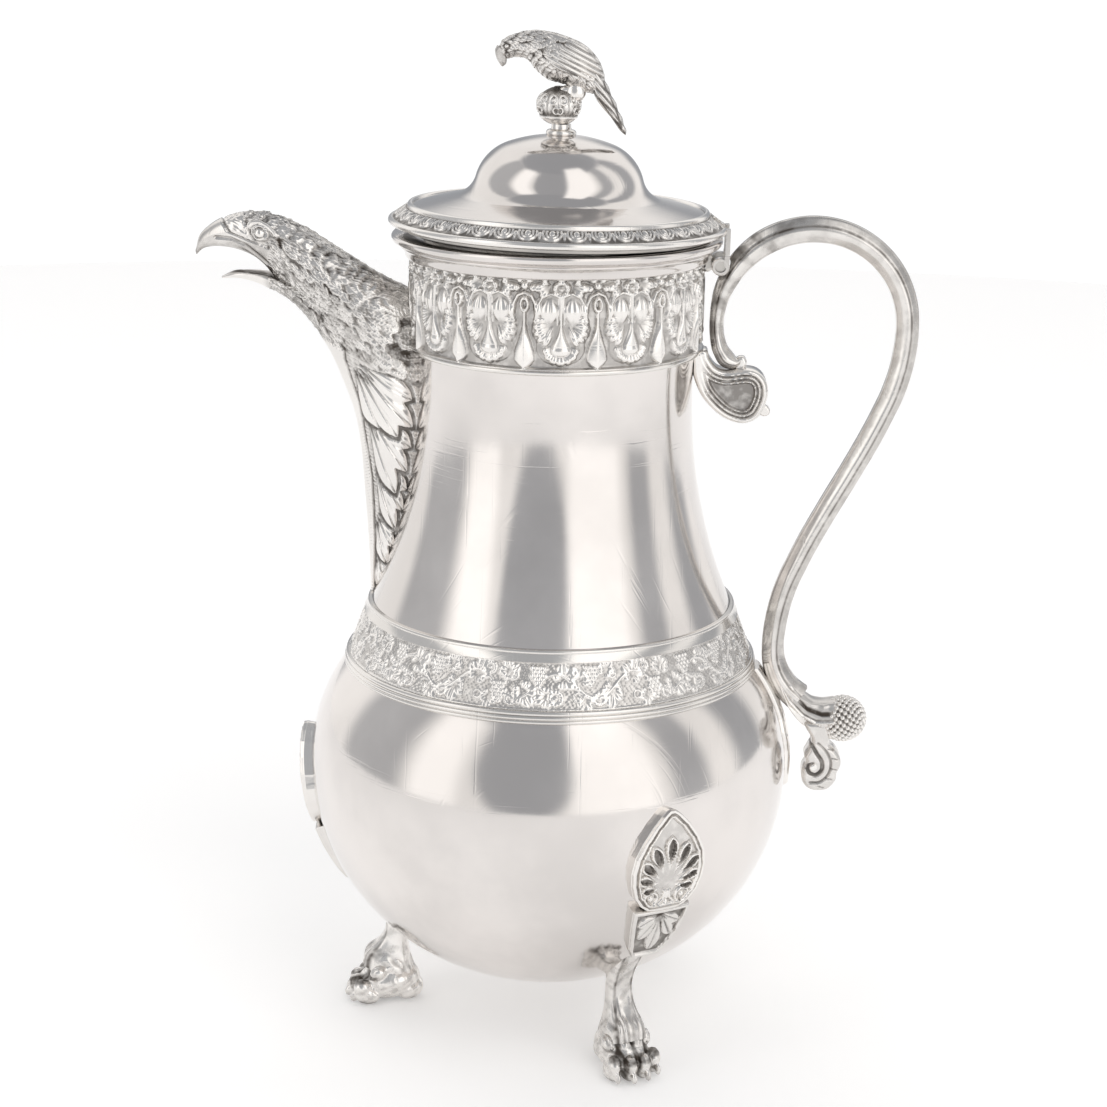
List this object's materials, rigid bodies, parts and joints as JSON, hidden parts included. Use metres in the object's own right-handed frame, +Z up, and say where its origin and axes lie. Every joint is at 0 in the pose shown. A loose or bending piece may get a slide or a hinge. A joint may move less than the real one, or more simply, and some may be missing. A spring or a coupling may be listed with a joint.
{
  "type": "coffee pot",
  "caption": "Footed pear-shaped coffee pot with an eagle spout, looped scroll handle, hinged domed lid with a bird finial, leaf and vine bands and paw feet.",
  "frame": {"origin": "on the ground under the middle of the pot's body, centred in its width and depth", "axes": "+Z up, -X towards the spout, +X towards the handle"},
  "size_m": [0.1892, 0.1296, 0.2696],
  "materials": {
    "polished_silver": "polished, fine scratches",
    "cast_silver": "polished high points over dark oxidised recesses",
    "fitting_silver": "filed"
  },
  "bodies": {
    "pot": {"belly_shell": "polished_silver", "foot_leg_back": "cast_silver", "foot_leg_front": "cast_silver", "foot_leg_spout": "cast_silver", "foot_palmette_back": "cast_silver", "foot_palmette_front": "cast_silver", "foot_palmette_spout": "cast_silver", "handle_berry": "cast_silver", "handle_calyx": "cast_silver", "handle_escutcheon": "cast_silver", "handle_lower_curl": "cast_silver", "handle_rod": "polished_silver", "handle_scroll_pin": "cast_silver", "handle_upper_scroll": "cast_silver", "hinge_body_knuckle": "cast_silver", "hinge_pin": "fitting_silver", "mouth_rim": "polished_silver", "neck_band_lower_bead": "cast_silver", "neck_leaf_band": "cast_silver", "neck_shell": "polished_silver", "spout_left_half": "cast_silver", "spout_right_half": "cast_silver", "vine_band": "cast_silver", "vine_band_lower_moulding": "cast_silver", "vine_band_upper_moulding": "cast_silver"},
    "lid": {"finial_bird": "cast_silver", "finial_bolt": "fitting_silver", "finial_globe": "cast_silver", "finial_nut": "fitting_silver", "finial_stem": "polished_silver", "finial_washer": "fitting_silver", "hinge_lid_knuckle_back": "cast_silver", "hinge_lid_knuckle_front": "cast_silver", "lid_bezel": "fitting_silver", "lid_border": "cast_silver", "lid_dome": "polished_silver"}
  },
  "joints": [
    {"name": "lid_hinge", "type": "hinge", "parent": "pot", "child": "lid", "pos_m": [0.0423, 0, 0.2108], "axis": [0, 1, 0], "range_deg": [-0.9, 60]}
  ]
}
